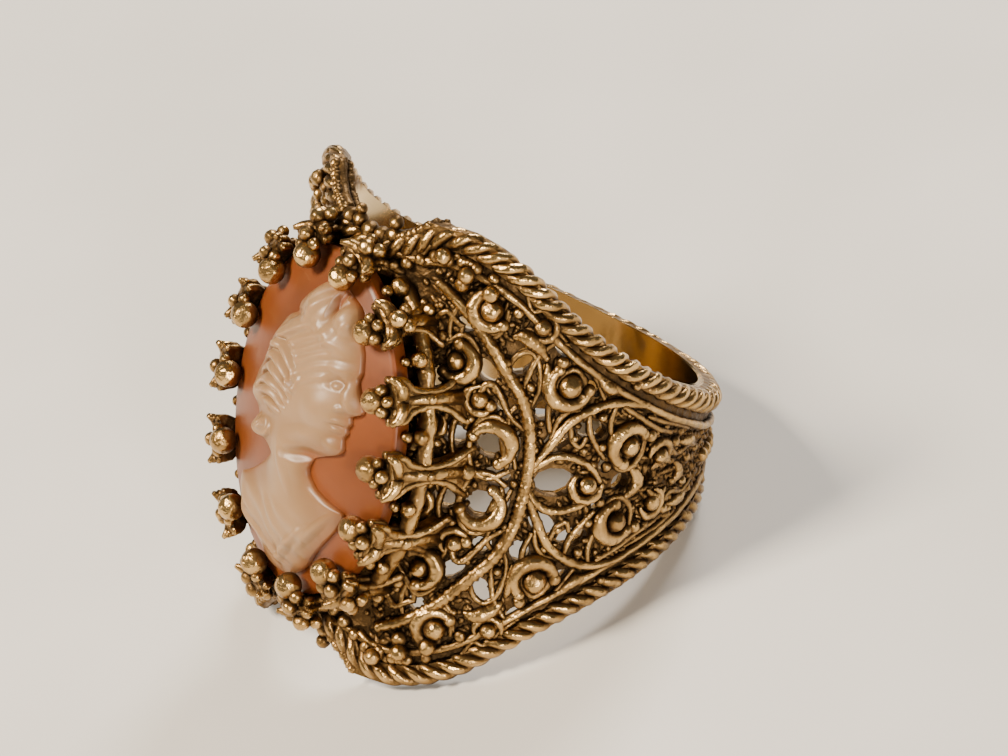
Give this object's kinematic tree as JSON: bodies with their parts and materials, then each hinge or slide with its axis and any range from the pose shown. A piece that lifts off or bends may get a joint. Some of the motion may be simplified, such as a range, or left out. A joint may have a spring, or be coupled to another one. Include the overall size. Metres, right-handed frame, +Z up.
{
  "type": "cameo ring",
  "caption": "Wide openwork finger ring with rope edges and a claw setting around a domed oval shell cameo of a carved bust.",
  "frame": {"origin": "middle of the finger hole", "axes": "+Z up with the ring lying at rest, -Y toward the side that the cameo faces, X across the band"},
  "size_m": [0.021, 0.0245, 0.0209],
  "materials": {
    "metal": "aged gold, brown in the recesses",
    "shell_ground": "polished orange shell",
    "shell_carving": "carved pale shell"
  },
  "bodies": {
    "root": {"ring_body": "metal", "cameo_shell": "shell_ground", "cameo_figure": "shell_carving"}
  },
  "joints": []
}
